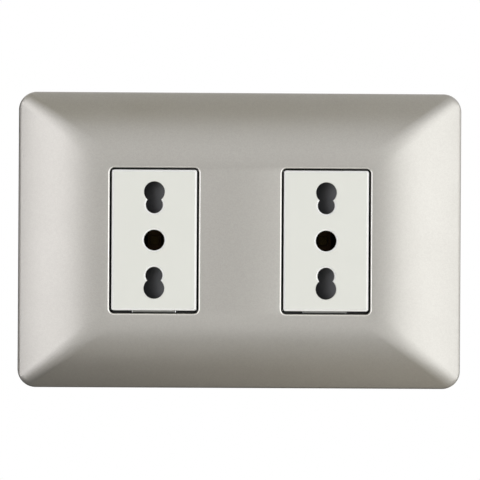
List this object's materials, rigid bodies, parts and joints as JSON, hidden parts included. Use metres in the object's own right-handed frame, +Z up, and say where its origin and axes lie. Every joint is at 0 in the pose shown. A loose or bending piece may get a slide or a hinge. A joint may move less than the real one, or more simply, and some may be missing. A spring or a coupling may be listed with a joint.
{
  "type": "double wall socket",
  "caption": "Flush double wall socket: pillow-shaped satin plate with two off-white modules, keyhole pin openings with sliding shutters, and terminals behind.",
  "frame": {"origin": "middle of the wall plane, midway between the two box screws", "axes": "+X to the right seen from the front, +Y into the wall, +Z up"},
  "size_m": [0.12, 0.0337, 0.08],
  "materials": {
    "satin_paint": "satin metallic paint",
    "white_polycarbonate": "semi-gloss",
    "frame_plastic": "matte",
    "black_polyamide": "matte",
    "grey_polyamide": "satin",
    "contact_brass": "satin",
    "terminal_brass": "satin",
    "plated_steel": "bright zinc",
    "spring_steel": "satin"
  },
  "bodies": {
    "wall_unit": {"cover_plate": "satin_paint", "support_frame": "frame_plastic", "fixing_screws": "plated_steel", "left_face": "white_polycarbonate", "left_base": "black_polyamide", "left_shutter_spring": "spring_steel", "left_upper_contact": "contact_brass", "left_lower_contact": "contact_brass", "left_earth_contact": "contact_brass", "left_upper_terminal": "terminal_brass", "left_lower_terminal": "terminal_brass", "left_earth_terminal": "terminal_brass", "left_terminal_screws": "plated_steel", "right_face": "white_polycarbonate", "right_base": "black_polyamide", "right_shutter_spring": "spring_steel", "right_upper_contact": "contact_brass", "right_lower_contact": "contact_brass", "right_earth_contact": "contact_brass", "right_upper_terminal": "terminal_brass", "right_lower_terminal": "terminal_brass", "right_earth_terminal": "terminal_brass", "right_terminal_screws": "plated_steel"},
    "left_shutter": {"left_shutter": "grey_polyamide"},
    "right_shutter": {"right_shutter": "grey_polyamide"}
  },
  "joints": [
    {"name": "left_shutter_slide", "type": "slide", "parent": "wall_unit", "child": "left_shutter", "axis": [1, 0, 0], "range_m": [0, 0.0057], "stiffness_N_per_m": 80, "springref_m": -0.004, "deforming": ["left_shutter_spring"]},
    {"name": "right_shutter_slide", "type": "slide", "parent": "wall_unit", "child": "right_shutter", "axis": [1, 0, 0], "range_m": [0, 0.0057], "stiffness_N_per_m": 80, "springref_m": -0.004, "deforming": ["right_shutter_spring"]}
  ]
}
